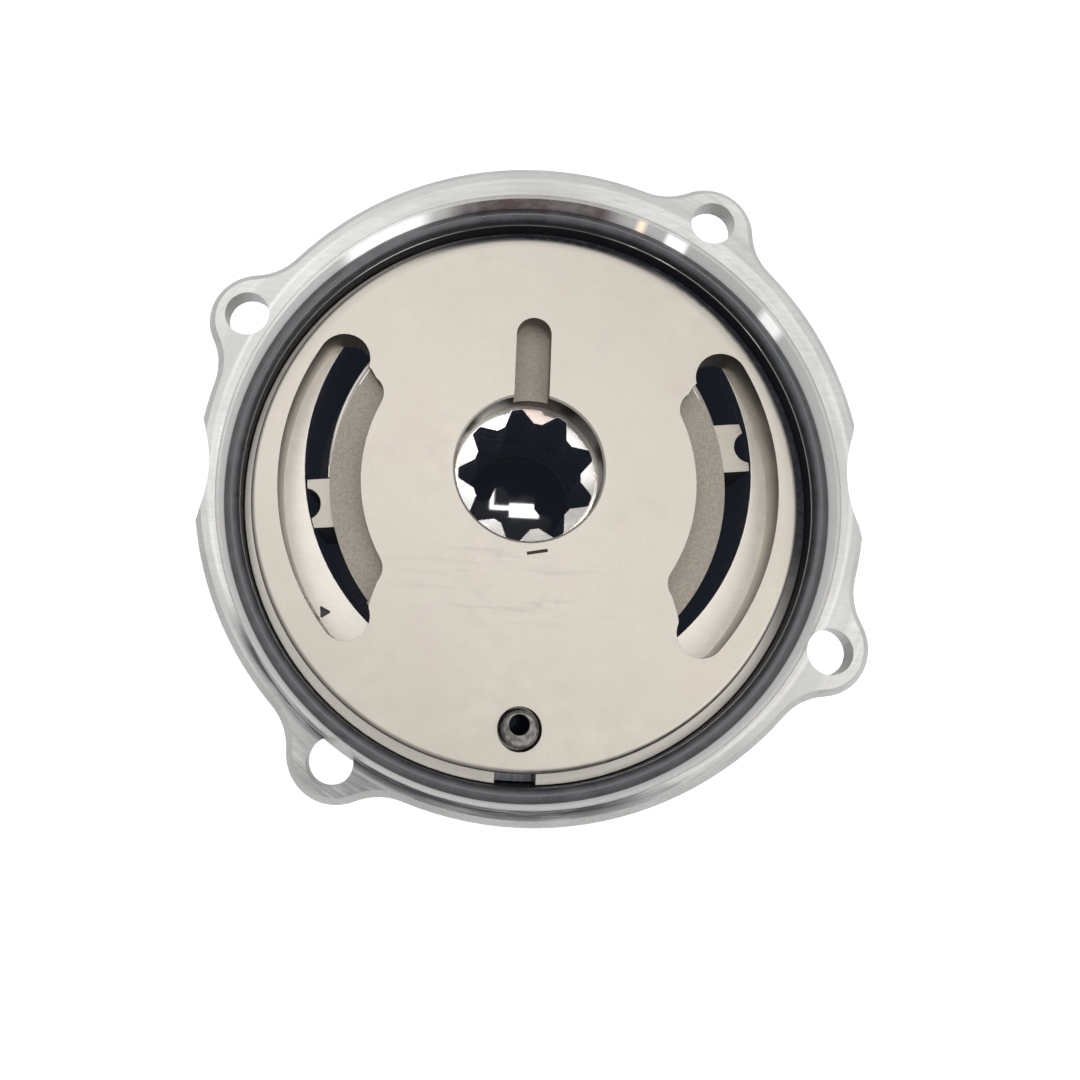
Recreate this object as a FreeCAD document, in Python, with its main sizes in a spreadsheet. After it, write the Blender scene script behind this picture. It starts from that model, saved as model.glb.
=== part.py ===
import FreeCAD, Part
import math
import os

# Cartridge vane pump with a flanged cup housing.
# Frame: the origin is the centre of the housing's spigot bore, in the plane of
# the flange face. +Z points out of the open front, +Y from the sleeve pin
# towards the groove in the port plate. All dimensions are millimetres.

doc = FreeCAD.newDocument("vane_pump")

# --------------------------------------------------------------------------
# driving dimensions
# --------------------------------------------------------------------------
dims = doc.addObject("Spreadsheet::Sheet", "dims")
VALUES = [
    # centres
    ("rotor_cx", 0.0), ("rotor_cy", 2.5),
    ("cam_cx", 0.2), ("cam_cy", 3.9),
    ("port_cx", 0.0), ("port_cy", 1.2),
    ("plate_cx", -0.35), ("plate_cy", -0.35),
    ("flange_cx", 0.2), ("flange_cy", 0.9),
    # heights
    ("plate_top", -1.7), ("plate_thick", 4.8),
    ("cam_height", 14.0), ("end_play", 0.03),
    ("rear_thick", 5.0), ("hub_drop", 1.15),
    ("ring_seat", -4.2), ("cavity_floor", -26.9),
    ("web_back", -31.5), ("back_face", -38.0),
    # flange
    ("flange_rad", 38.6), ("flange_deep", 9.2), ("ear_thick", 3.0),
    ("ear_centre", 37.4), ("ear_rad", 5.6), ("ear_blend", 7.0), ("ear_relief", 4.7),
    ("bolt_circle", 38.6), ("bolt_hole", 2.6), ("bolt_cx", 0.15), ("bolt_cy", 0.85),
    ("bolt_ang_a", 57.5), ("bolt_ang_b", 152.2),
    ("scallop_rad", 14.8), ("scallop_dist", 51.5),
    ("scallop_ang_l", 180.2), ("scallop_ang_r", 3.6),
    ("flange_bevel", 0.8),
    # housing body
    ("spigot_rad", 35.5), ("spigot_bevel", 0.35), ("cavity_rad", 33.85),
    ("body_rad", 36.6), ("core_rad", 33.0), ("boss_rad", 15.0),
    ("centre_bore", 10.0), ("rib_wide", 3.2), ("rib_back", -36.5),
    ("seal_in", 12.0), ("seal_out", 14.2), ("seal_deep", 1.3),
    # face ring
    ("ring_sect", 0.86), ("ring_mid", 34.63),
    # front plate
    ("plate_rad", 31.8), ("plate_bore", 8.68), ("plate_round", 0.65),
    ("port_in", 23.35), ("port_out", 29.15), ("port_half_lo", 2.78), ("port_half_hi", 3.08),
    ("port_a_lo", -40.05), ("port_a_hi", 30.6),
    ("shelf_in", 19.55), ("shelf_join", 24.6), ("shelf_bump", 2.3),
    ("shelf_bump_r", 21.85), ("shelf_a_lo", -31.5), ("shelf_a_hi", 25.0),
    ("shelf_deep", 2.0),
    ("groove_half", 2.07), ("groove_top", 20.8), ("groove_deep", 2.5),
    ("pin_y", -27.3), ("plate_pin_hole", 2.5),
    ("dash_long", 2.4), ("dash_wide", 0.36), ("dash_deep", 0.2),
    # cam ring
    ("cam_out", 33.75), ("cam_bore", 27.0),
    ("notch_wide", 4.65), ("notch_in", 31.45), ("notch_deep", 5.0),
    # rotor
    ("rotor_rad", 24.0), ("rotor_turn", 6.2),
    ("spline_minor", 6.5), ("spline_major", 8.2),
    ("spline_base", 5.9), ("spline_half_base", 1.94), ("spline_half_tip", 0.61),
    ("spline_turn", 14.1), ("spline_teeth", 9.0),
    ("slot_wide", 6.06), ("slot_off", 2.0), ("slot_floor", 13.0), ("slot_end", 26.0),
    ("recess_in", 11.3), ("recess_out", 16.8), ("recess_deep", 2.3),
    # vanes
    ("vane_thick", 6.0), ("vane_long", 11.6), ("vane_tip_rad", 20.0),
    ("vane_groove", 1.9), ("vane_groove_out", 0.35),
    ("vane_a_tip", 27.165), ("vane_b_tip", 27.87), ("vane_c_tip", 26.484), ("vane_d_tip", 25.591),
    # guide rings
    ("guide_out", 14.8), ("guide_in", 13.2), ("guide_thick", 2.0),
    # pins
    ("sleeve_out", 2.1), ("sleeve_in", 1.15), ("sleeve_off_x", -0.08), ("sleeve_off_y", 0.5), ("sleeve_top", -0.8), ("sleeve_end", -24.6),
    ("sleeve_hole", 2.12), ("sleeve_bevel", 0.3),
    ("dowel_rad", 2.0), ("dowel_hole", 2.02), ("dowel_y", 28.5), ("dowel_top", -22.6), ("dowel_end", -30.4),
    # rear plate
    ("rear_bore", 9.0), ("rear_pocket", 1.5), ("hub_rad", 16.0),
    ("side_groove", 2.0), ("side_groove_r", 32.35),
    ("feed_in", 12.2), ("feed_out", 14.6), ("feed_deep", 1.0),
    ("outer_sect", 0.72), ("outer_mid", 33.1),
    ("inner_sect", 0.75), ("inner_mid", 13.1),
    # spring washer
    ("disc_in", 19.5), ("disc_out", 26.2), ("disc_thick", 0.6),
    # bush and plug
    ("bush_out", 9.98), ("bush_in", 7.6), ("bush_top", -27.4), ("bush_end", -31.0),
    ("plug_out", 9.97), ("plug_top", -31.4), ("plug_end", -35.4), ("plug_wall", 1.2),
    # relief valve
    ("relief_x", 19.6), ("relief_y", -11.2), ("relief_boss", 7.6),
    ("relief_inlet", 1.75), ("relief_seat", -29.0), ("relief_bore", 3.6),
    ("relief_thread", 5.0), ("thread_top", -34.4), ("relief_plug_r", 4.97),
    ("plug_back", -37.6), ("hex_half", 2.0), ("hex_deep", 2.0),
    ("poppet_rad", 3.55), ("poppet_nose", 1.35), ("poppet_end", -31.2),
    ("spring_mid", 2.5), ("spring_wire", 0.25), ("spring_turns", 3.5),
]
for row, (alias, value) in enumerate(VALUES, start=1):
    dims.set("A%d" % row, alias.replace("_", " "))
    dims.set("B%d" % row, repr(value))
    dims.setAlias("B%d" % row, alias)
doc.recompute()
D = dict(VALUES)


def D_(alias):
    """Current value of a sheet cell, as a plain number."""
    return float(dims.get(alias))


def ex(text):
    """Expression text with each alias prefixed by the sheet's name."""
    out = []
    word = ""
    for ch in text + " ":
        if ch.isalnum() or ch == "_":
            word += ch
        else:
            out.append("dims." + word if word in D else word)
            word = ""
            out.append(ch)
    return "".join(out).strip()


def bind(obj, prop, text):
    if text is None or str(text) == "0":
        return
    obj.setExpression(prop, ex(str(text)))


# --------------------------------------------------------------------------
# primitives bound to the sheet
# --------------------------------------------------------------------------
def place(obj, x="0", y="0", z="0", turn=None):
    bind(obj, "Placement.Base.x", x)
    bind(obj, "Placement.Base.y", y)
    bind(obj, "Placement.Base.z", z)
    if turn is not None:
        obj.Placement = FreeCAD.Placement(obj.Placement.Base, FreeCAD.Rotation(FreeCAD.Vector(0, 0, 1), 1.0))
        bind(obj, "Placement.Rotation.Angle", turn)
    return obj


def cyl(name, radius, height, x="0", y="0", z="0", angle=None, turn=None):
    o = doc.addObject("Part::Cylinder", name)
    bind(o, "Radius", radius)
    bind(o, "Height", height)
    if angle is not None:
        bind(o, "Angle", angle)
    return place(o, x, y, z, turn)


def box(name, length, width, height, x="0", y="0", z="0", turn=None):
    o = doc.addObject("Part::Box", name)
    bind(o, "Length", length)
    bind(o, "Width", width)
    bind(o, "Height", height)
    return place(o, x, y, z, turn)


def cone(name, r_low, r_high, height, x="0", y="0", z="0"):
    o = doc.addObject("Part::Cone", name)
    bind(o, "Radius1", r_low)
    bind(o, "Radius2", r_high)
    bind(o, "Height", height)
    return place(o, x, y, z)


def fuse(name, *parts):
    o = doc.addObject("Part::MultiFuse", name)
    o.Shapes = list(parts)
    return o


def cut(name, base, tool):
    o = doc.addObject("Part::Cut", name)
    o.Base = base
    o.Tool = tool
    return o


def common(name, *parts):
    o = doc.addObject("Part::MultiCommon", name)
    o.Shapes = list(parts)
    return o


# --------------------------------------------------------------------------
# bodies with sketches
# --------------------------------------------------------------------------
def body(label):
    b = doc.addObject("PartDesign::Body", label)
    b.Label = label
    return b


def origin_plane(b, role):
    return [f for f in b.Origin.OriginFeatures if f.Role == role][0]


def sketch(b, name, z=None, role="XY_Plane", turn=None):
    s = b.newObject("Sketcher::SketchObject", name)
    s.AttachmentSupport = [(origin_plane(b, role), "")]
    s.MapMode = "FlatFace"
    if z is not None:
        bind(s, "AttachmentOffset.Base.z", z)
    if turn is not None:
        s.AttachmentOffset = FreeCAD.Placement(FreeCAD.Vector(0, 0, 0), FreeCAD.Rotation(FreeCAD.Vector(0, 0, 1), 1.0))
        bind(s, "AttachmentOffset.Rotation.Angle", turn)
    return s


V = FreeCAD.Vector
import Sketcher


def s_circle(s, radius, x=None, y=None, guess=(0.0, 0.0, 1.0)):
    g = s.addGeometry(Part.Circle(V(guess[0], guess[1], 0), V(0, 0, 1), guess[2]), False)
    if x is None and y is None:
        s.addConstraint(Sketcher.Constraint("Coincident", g, 3, -1, 1))
    else:
        cx = s.addConstraint(Sketcher.Constraint("DistanceX", -1, 1, g, 3, guess[0]))
        s.setExpression("Constraints[%d]" % cx, ex(x))
        cy = s.addConstraint(Sketcher.Constraint("DistanceY", -1, 1, g, 3, guess[1]))
        s.setExpression("Constraints[%d]" % cy, ex(y))
    c = s.addConstraint(Sketcher.Constraint("Radius", g, guess[2]))
    s.setExpression("Constraints[%d]" % c, ex(radius))
    return g


def s_polygon(s, corners):
    """Closed outline; corners are (x expression, y expression, x guess, y guess)."""
    n = len(corners)
    lines = []
    for i in range(n):
        a, b2 = corners[i], corners[(i + 1) % n]
        lines.append(s.addGeometry(Part.LineSegment(V(a[2], a[3], 0), V(b2[2], b2[3], 0)), False))
    for i in range(n):
        s.addConstraint(Sketcher.Constraint("Coincident", lines[i], 2, lines[(i + 1) % n], 1))
    for i, (x, y, gx, gy) in enumerate(corners):
        cx = s.addConstraint(Sketcher.Constraint("DistanceX", -1, 1, lines[i], 1, gx))
        s.setExpression("Constraints[%d]" % cx, ex(x))
        cy = s.addConstraint(Sketcher.Constraint("DistanceY", -1, 1, lines[i], 1, gy))
        s.setExpression("Constraints[%d]" % cy, ex(y))


def pad(b, name, s, length, down=False):
    p = b.newObject("PartDesign::Pad", name)
    p.Profile = s
    p.Reversed = down
    bind(p, "Length", length)
    b.Tip = p
    return p


def pocket(b, name, s, length, up=False):
    p = b.newObject("PartDesign::Pocket", name)
    p.Profile = s
    p.Reversed = up
    bind(p, "Length", length)
    b.Tip = p
    return p


def polar(b, name, feature, count):
    p = b.newObject("PartDesign::PolarPattern", name)
    p.Originals = [feature]
    p.Axis = ([f for f in b.Origin.OriginFeatures if f.Role == "Z_Axis"][0], [""])
    p.Angle = 360.0
    bind(p, "Occurrences", count)
    b.Tip = p
    return p


def revolve(b, name, s):
    p = b.newObject("PartDesign::Revolution", name)
    p.Profile = s
    p.ReferenceAxis = (s, ["V_Axis"])
    p.Angle = 360.0
    b.Tip = p
    return p


def edges_of(obj, test):
    out = []
    for i, e in enumerate(obj.Shape.Edges, start=1):
        if test(e):
            out.append("Edge%d" % i)
    return out


def dress(b, kind, name, base, test, size):
    doc.recompute()
    names = edges_of(base, test)
    if not names:
        raise RuntimeError("no edges for " + name)
    p = b.newObject("PartDesign::" + kind, name)
    p.Base = (base, names)
    bind(p, "Radius" if kind == "Fillet" else "Size", size)
    b.Tip = p
    return p


# ==========================================================================
# pump_housing: flange with ears and scallops, cup, bosses and ribs
# ==========================================================================
housing = body("pump_housing")


def ear_angles():
    return [("bolt_ang_a", 0.0), ("bolt_ang_b", 0.0), ("bolt_ang_a", 180.0), ("bolt_ang_b", 180.0)]


s = sketch(housing, "flange_outline")
s_circle(s, "flange_rad", "flange_cx", "flange_cy", (D["flange_cx"], D["flange_cy"], D["flange_rad"]))
rim = pad(housing, "flange_rim", s, "ear_thick", down=True)

s = sketch(housing, "ear_outlines")
for alias, add in ear_angles():
    a = math.radians(D[alias] + add)
    s_circle(s, "ear_rad",
             "flange_cx + ear_centre * cos(%s + %g)" % (alias, add),
             "flange_cy + ear_centre * sin(%s + %g)" % (alias, add),
             (D["flange_cx"] + D["ear_centre"] * math.cos(a), D["flange_cy"] + D["ear_centre"] * math.sin(a), D["ear_rad"]))
ears = pad(housing, "ears", s, "ear_thick", down=True)


def ear_corner(e):
    if len(e.Vertexes) != 2:
        return False
    p, q = e.Vertexes[0].Point, e.Vertexes[1].Point
    if abs(p.x - q.x) > 1e-3 or abs(p.y - q.y) > 1e-3 or abs(p.z - q.z) < 1.0:
        return False
    r = math.hypot(p.x - D["flange_cx"], p.y - D["flange_cy"])
    if abs(r - D["flange_rad"]) > 0.02:
        return False
    for alias, add in ear_angles():
        a = math.radians(D[alias] + add)
        ex_, ey_ = D["flange_cx"] + D["ear_centre"] * math.cos(a), D["flange_cy"] + D["ear_centre"] * math.sin(a)
        if abs(math.hypot(p.x - ex_, p.y - ey_) - D["ear_rad"]) < 0.02:
            return True
    return False


blend = dress(housing, "Fillet", "ear_blends", ears, ear_corner, "ear_blend")


def rim_edge(e):
    bb = e.BoundBox
    if abs(bb.ZMin) > 1e-4 or abs(bb.ZMax) > 1e-4:
        return False
    p = e.valueAt((e.FirstParameter + e.LastParameter) / 2)
    return math.hypot(p.x, p.y) > 36.0


dress(housing, "Chamfer", "rim_bevel", blend, rim_edge, "flange_bevel")

s = sketch(housing, "skirt_outline", z="-ear_thick")
s_circle(s, "flange_rad", "flange_cx", "flange_cy", (D["flange_cx"], D["flange_cy"], D["flange_rad"]))
pad(housing, "flange_skirt", s, "flange_deep - ear_thick", down=True)

# the skirt is relieved under each ear, so that the ears are thin tabs
s = sketch(housing, "ear_relief_outline", z="-ear_thick")
for alias, add in ear_angles():
    a = math.radians(D[alias] + add)
    s_circle(s, "ear_relief",
             "bolt_cx + (bolt_circle + 1.2) * cos(%s + %g)" % (alias, add),
             "bolt_cy + (bolt_circle + 1.2) * sin(%s + %g)" % (alias, add),
             (D["bolt_cx"] + (D["bolt_circle"] + 1.2) * math.cos(a),
              D["bolt_cy"] + (D["bolt_circle"] + 1.2) * math.sin(a), D["ear_relief"]))
pocket(housing, "ear_reliefs", s, "flange_deep - ear_thick + 0.5")

s = sketch(housing, "cup_outline", z="-ear_thick + 0.2")
s_circle(s, "body_rad", guess=(0, 0, D["body_rad"]))
pad(housing, "cup", s, "-back_face - ear_thick + 0.2", down=True)

s = sketch(housing, "scallop_outline", z="0.5")
for alias in ("scallop_ang_l", "scallop_ang_r"):
    a = math.radians(D[alias])
    s_circle(s, "scallop_rad", "scallop_dist * cos(%s)" % alias, "scallop_dist * sin(%s)" % alias,
             (D["scallop_dist"] * math.cos(a), D["scallop_dist"] * math.sin(a), D["scallop_rad"]))
pocket(housing, "scallops", s, "flange_deep + 0.4")


s = sketch(housing, "spigot_circle")
s_circle(s, "spigot_rad", guess=(0, 0, D["spigot_rad"]))
spigot = pocket(housing, "spigot_bore", s, "-ring_seat")


def spigot_mouth(e):
    bb = e.BoundBox
    if abs(bb.ZMin) > 1e-4 or abs(bb.ZMax) > 1e-4:
        return False
    p = e.valueAt((e.FirstParameter + e.LastParameter) / 2)
    return abs(math.hypot(p.x, p.y) - D["spigot_rad"]) < 0.02


dress(housing, "Chamfer", "spigot_lead", spigot, spigot_mouth, "spigot_bevel")

s = sketch(housing, "cavity_circle")
s_circle(s, "cavity_rad", guess=(0, 0, D["cavity_rad"]))
pocket(housing, "cavity", s, "-cavity_floor")

# cored back: rim, centre boss and valve boss stay, joined by ribs
s = sketch(housing, "core_ring", z="back_face")
s_circle(s, "core_rad", guess=(0, 0, D["core_rad"]))
s_circle(s, "boss_rad", guess=(0, 0, D["boss_rad"]))
pocket(housing, "cored_back", s, "web_back - back_face", up=True)

s = sketch(housing, "valve_boss_circle", z="web_back + 0.5")
s_circle(s, "relief_boss", "relief_x", "relief_y", (D["relief_x"], D["relief_y"], D["relief_boss"]))
pad(housing, "valve_boss", s, "web_back - back_face + 0.5", down=True)

s = sketch(housing, "rib_outline", z="web_back + 0.5")
s_polygon(s, [("boss_rad - 2", "-rib_wide / 2", D["boss_rad"] - 2, -D["rib_wide"] / 2),
              ("core_rad + 1", "-rib_wide / 2", D["core_rad"] + 1, -D["rib_wide"] / 2),
              ("core_rad + 1", "rib_wide / 2", D["core_rad"] + 1, D["rib_wide"] / 2),
              ("boss_rad - 2", "rib_wide / 2", D["boss_rad"] - 2, D["rib_wide"] / 2)])
rib = pad(housing, "rib", s, "web_back - rib_back + 0.5", down=True)
polar(housing, "ribs", rib, "6")

s = sketch(housing, "centre_circle", z="cavity_floor + 1")
s_circle(s, "centre_bore", guess=(0, D["rotor_cy"], D["centre_bore"]), x="rotor_cx", y="rotor_cy")
pocket(housing, "centre_bore", s, "cavity_floor - back_face + 2")

s = sketch(housing, "seal_groove_ring", z="cavity_floor")
s_circle(s, "seal_out", "rotor_cx", "rotor_cy", (0, D["rotor_cy"], D["seal_out"]))
s_circle(s, "seal_in", "rotor_cx", "rotor_cy", (0, D["rotor_cy"], D["seal_in"]))
pocket(housing, "seal_groove", s, "seal_deep")

s = sketch(housing, "bolt_circles", z="0.5")
for alias, add in ear_angles():
    a = math.radians(D[alias] + add)
    s_circle(s, "bolt_hole",
             "bolt_cx + bolt_circle * cos(%s + %g)" % (alias, add),
             "bolt_cy + bolt_circle * sin(%s + %g)" % (alias, add),
             (D["bolt_cx"] + D["bolt_circle"] * math.cos(a), D["bolt_cy"] + D["bolt_circle"] * math.sin(a), D["bolt_hole"]))
pocket(housing, "bolt_holes", s, "ear_thick + 0.9")

s = sketch(housing, "dowel_circle", z="cavity_floor")
s_circle(s, "dowel_hole", "0", "dowel_y", (0, D["dowel_y"], D["dowel_hole"]))
pocket(housing, "dowel_bore", s, "cavity_floor - dowel_end + 0.1")

s = sketch(housing, "inlet_circle", z="cavity_floor + 0.5")
s_circle(s, "relief_inlet", "relief_x", "relief_y", (D["relief_x"], D["relief_y"], D["relief_inlet"]))
pocket(housing, "relief_inlet_hole", s, "cavity_floor - relief_seat + 1")
s = sketch(housing, "valve_circle", z="relief_seat")
s_circle(s, "relief_bore", "relief_x", "relief_y", (D["relief_x"], D["relief_y"], D["relief_bore"]))
pocket(housing, "relief_valve_bore", s, "relief_seat - back_face + 1")
s = sketch(housing, "thread_circle", z="thread_top")
s_circle(s, "relief_thread", "relief_x", "relief_y", (D["relief_x"], D["relief_y"], D["relief_thread"]))
pocket(housing, "relief_thread_bore", s, "thread_top - back_face + 1")

# ==========================================================================
# rubber rings: torus bodies
# ==========================================================================
def torus(label, ring_r, sect_r, x, y, z):
    o = doc.addObject("Part::Torus", label)
    o.Label = label
    bind(o, "Radius1", ring_r)
    bind(o, "Radius2", sect_r)
    place(o, x, y, z)
    return o


face_o_ring = torus("face_o_ring", "ring_mid", "ring_sect", "0", "0", "ring_seat + ring_sect + 0.01")
outer_seal = torus("outer_seal_ring", "outer_mid", "outer_sect", "0", "0",
                   "plate_top - plate_thick - cam_height - rear_thick / 2")
inner_seal = torus("inner_seal_ring", "inner_mid", "inner_sect", "rotor_cx", "rotor_cy",
                   "cavity_floor - seal_deep + inner_sect + 0.01")

# ==========================================================================
# front_port_plate
# ==========================================================================
blank = body("plate_blank")
s = sketch(blank, "plate_circle", z="plate_top")
s_circle(s, "plate_rad", guess=(0, 0, D["plate_rad"]))
blank_pad = pad(blank, "plate_disc", s, "plate_thick", down=True)
dress(blank, "Fillet", "plate_edge", blank_pad,
      lambda e: abs(e.BoundBox.ZMin - D["plate_top"]) < 1e-4 and abs(e.BoundBox.ZMax - D["plate_top"]) < 1e-4,
      "plate_round")
place(blank, "plate_cx", "plate_cy", "0")


def port_tools(tag, sign, z, height):
    """Kidney slot: arc band with two round ends. sign -1 mirrors it to the left."""
    if sign > 0:
        turn = "port_a_lo"
        ends = ["port_a_lo", "port_a_hi"]
    else:
        turn = "180 - port_a_hi"
        ends = ["180 - port_a_lo", "180 - port_a_hi"]
    sector = cyl(tag + "_sector", "port_out", height, "port_cx", "port_cy", z, "port_a_hi - port_a_lo", turn)
    hole = cyl(tag + "_core", "port_in", height, "port_cx", "port_cy", z)
    band = cut(tag + "_band", sector, hole)
    caps = []
    for i, (a, half) in enumerate(zip(ends, ("port_half_lo", "port_half_hi"))):
        caps.append(cyl("%s_cap_%d" % (tag, i), half, height,
                        "port_cx + (port_out - %s) * cos(%s)" % (half, a),
                        "port_cy + (port_out - %s) * sin(%s)" % (half, a), z))
    return [band] + caps


def shelf_tools(tag, sign, z, height):
    if sign > 0:
        turn = "shelf_a_lo"
        ends = ["shelf_a_lo", "shelf_a_hi"]
    else:
        turn = "180 - shelf_a_hi"
        ends = ["180 - shelf_a_lo", "180 - shelf_a_hi"]
    sector = cyl(tag + "_sector", "shelf_join", height, "port_cx", "port_cy", z, "shelf_a_hi - shelf_a_lo", turn)
    hole = cyl(tag + "_core", "shelf_in", height, "port_cx", "port_cy", z)
    band = cut(tag + "_band", sector, hole)
    bumps = []
    for i, a in enumerate(ends):
        bumps.append(cyl("%s_bump_%d" % (tag, i), "shelf_bump", height,
                         "port_cx + shelf_bump_r * cos(%s)" % a, "port_cy + shelf_bump_r * sin(%s)" % a, z))
    return [band] + bumps


# the shelf floor runs on from each bump to the end of its port
shelf_ends = body("shelf_ends")
s = sketch(shelf_ends, "shelf_end_outlines", z="plate_top - shelf_deep")
UPPER = [("port_in + 0.85", "shelf_a_hi"), ("port_in + 0.85", "port_a_hi + 2.9"), ("port_in - 0.8", "port_a_hi + 1.7"),
         ("shelf_in + 0.75", "shelf_a_hi + 4.2"), ("shelf_in + 0.05", "shelf_a_hi + 1.5"), ("shelf_in + 0.6", "shelf_a_hi - 2")]
LOWER = [("port_in + 1.6", "port_a_lo - 1.9"), ("port_in + 0.85", "shelf_a_lo + 1.5"), ("shelf_in + 0.3", "shelf_a_lo + 0.6"),
         ("shelf_in + 0.35", "shelf_a_lo - 2.8"), ("shelf_in + 1.65", "port_a_lo + 2.6"), ("port_in - 0.85", "port_a_lo + 0.4"),
         ("port_in + 0.05", "port_a_lo - 1.2"), ("port_in + 0.65", "port_a_lo - 2.6")]


def value(text):
    """Number behind a short sheet expression such as 'port_in + 0.85'."""
    words = text.split()
    total = D[words[0]]
    if len(words) == 3:
        total += float(words[2]) * (1 if words[1] == "+" else -1)
    return total


for outline in (UPPER, LOWER):
    for side in (1, -1):
        corners = []
        for rad, ang in outline:
            gr, ga = value(rad), math.radians(value(ang))
            corners.append(("port_cx + %d * (%s) * cos(%s)" % (side, rad, ang), "port_cy + (%s) * sin(%s)" % (rad, ang),
                            D["port_cx"] + side * gr * math.cos(ga), D["port_cy"] + gr * math.sin(ga)))
        s_polygon(s, corners)
pad(shelf_ends, "shelf_end_pads", s, "shelf_deep + 1")

low = "plate_top - plate_thick - 1"
through = "plate_thick + 2"
tools = []
tools += port_tools("port_r", 1, low, through)
tools += port_tools("port_l", -1, low, through)
tools += shelf_tools("shelf_r", 1, "plate_top - shelf_deep", "shelf_deep + 1")
tools += shelf_tools("shelf_l", -1, "plate_top - shelf_deep", "shelf_deep + 1")
tools.append(shelf_ends)
tools.append(cyl("plate_bore_tool", "plate_bore", through, "rotor_cx", "rotor_cy", low))
tools.append(cone("plate_bore_bevel", "plate_bore", "plate_bore + 0.6", "0.6", "rotor_cx", "rotor_cy", "plate_top - 0.25"))
tools.append(box("groove_run", "2 * groove_half", "groove_top - groove_half - rotor_cy", "groove_deep + 1",
                 "rotor_cx - groove_half - 0.05", "rotor_cy", "plate_top - groove_deep"))
tools.append(cyl("groove_round", "groove_half", "groove_deep + 1", "rotor_cx - 0.05", "groove_top - groove_half",
                 "plate_top - groove_deep"))
tools.append(cyl("plate_pin_tool", "plate_pin_hole", through, "0", "pin_y", low))
tools.append(box("dash_tool", "dash_long", "dash_wide", "dash_deep + 1", "0.12", "-7.78", "plate_top - dash_deep", "11.1"))
front = cut("front_port_plate", blank, fuse("front_plate_tools", *tools))
front.Label = "front_port_plate"

# ==========================================================================
# cam_ring
# ==========================================================================
cam_low = "plate_top - plate_thick - cam_height"
cam_blank = cyl("cam_blank", "cam_out", "cam_height", "0", "0", cam_low)
mark = doc.addObject("Part::Feature", "cam_mark")
mz = D_("plate_top") - D_("plate_thick") - 0.2
mark.Shape = Part.Face(Part.makePolygon([V(-23.66, -14.45, mz), V(-22.45, -15.05, mz), V(-23.5, -15.8, mz),
                                         V(-23.66, -14.45, mz)])).extrude(V(0, 0, 1))
cam_tools = fuse("cam_tools",
                 cyl("cam_bore_tool", "cam_bore", "cam_height + 2", "cam_cx", "cam_cy", cam_low + " - 1"),
                 cyl("cam_pin_tool", "sleeve_hole", "cam_height + 2", "0", "pin_y", cam_low + " - 1"),
                 box("cam_notch", "notch_wide", "5", "notch_deep + 1", "-notch_wide / 2", "-notch_in - 5",
                     "plate_top - plate_thick - notch_deep"),
                 mark)
cam = cut("cam_ring", cam_blank, cam_tools)
cam.Label = "cam_ring"

# ==========================================================================
# rotor: disc with nine-tooth internal spline, four canted slots, end recesses
# ==========================================================================
rotor = body("rotor")
s = sketch(rotor, "rotor_circle")
s_circle(s, "rotor_rad", guess=(0, 0, D["rotor_rad"]))
s_circle(s, "spline_minor", guess=(0, 0, D["spline_minor"]))
rotor_disc = pad(rotor, "rotor_disc", s, "cam_height - 2 * end_play", down=True)

s = sketch(rotor, "spline_space", z="0.5", turn="spline_turn")
s_polygon(s, [("spline_base", "-spline_half_base", D["spline_base"], -D["spline_half_base"]),
              ("spline_major", "-spline_half_tip", D["spline_major"], -D["spline_half_tip"]),
              ("spline_major", "spline_half_tip", D["spline_major"], D["spline_half_tip"]),
              ("spline_base", "spline_half_base", D["spline_base"], D["spline_half_base"])])
space = pocket(rotor, "spline_cut", s, "cam_height + 1")
polar(rotor, "spline", space, "spline_teeth")

s = sketch(rotor, "slot_outline", z="0.5")
s_polygon(s, [("slot_floor", "slot_off - slot_wide / 2", D["slot_floor"], D["slot_off"] - D["slot_wide"] / 2),
              ("slot_end", "slot_off - slot_wide / 2", D["slot_end"], D["slot_off"] - D["slot_wide"] / 2),
              ("slot_end", "slot_off + slot_wide / 2", D["slot_end"], D["slot_off"] + D["slot_wide"] / 2),
              ("slot_floor", "slot_off + slot_wide / 2", D["slot_floor"], D["slot_off"] + D["slot_wide"] / 2)])
slot = pocket(rotor, "vane_slot", s, "cam_height + 1")
polar(rotor, "vane_slots", slot, "4")

for name, z, up in (("recess_front", "0", False), ("recess_rear", "-cam_height + 2 * end_play", True)):
    s = sketch(rotor, name + "_ring", z=z)
    s_circle(s, "recess_out", guess=(0, 0, D["recess_out"]))
    s_circle(s, "recess_in", guess=(0, 0, D["recess_in"]))
    pocket(rotor, name, s, "recess_deep", up=up)
place(rotor, "rotor_cx", "rotor_cy", "plate_top - plate_thick - end_play", "rotor_turn")

# ==========================================================================
# vanes: flat blade, rounded tip with a round groove along it
# ==========================================================================
def vane(label, tip, quarter):
    h = "cam_height - 2 * end_play"
    blade = box(label + "_blade", "vane_long + 0.5", "vane_thick", h, tip + " - vane_long", "slot_off - vane_thick / 2", "0")
    nose = cyl(label + "_nose", "vane_tip_rad", h, tip + " - vane_tip_rad", "0", "0")
    groove = cyl(label + "_groove", "vane_groove", h + " + 2", tip + " + vane_groove_out", "slot_off", "-1")
    shaped = common(label + "_shaped", blade, nose)
    v = cut(label, shaped, groove)
    v.Label = label
    place(v, "rotor_cx", "rotor_cy", cam_low + " + end_play", "rotor_turn + %d" % (90 * quarter))
    return v


vanes = [vane("vane_1", "vane_a_tip", 0), vane("vane_2", "vane_b_tip", 1),
         vane("vane_3", "vane_c_tip", 2), vane("vane_4", "vane_d_tip", 3)]

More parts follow.
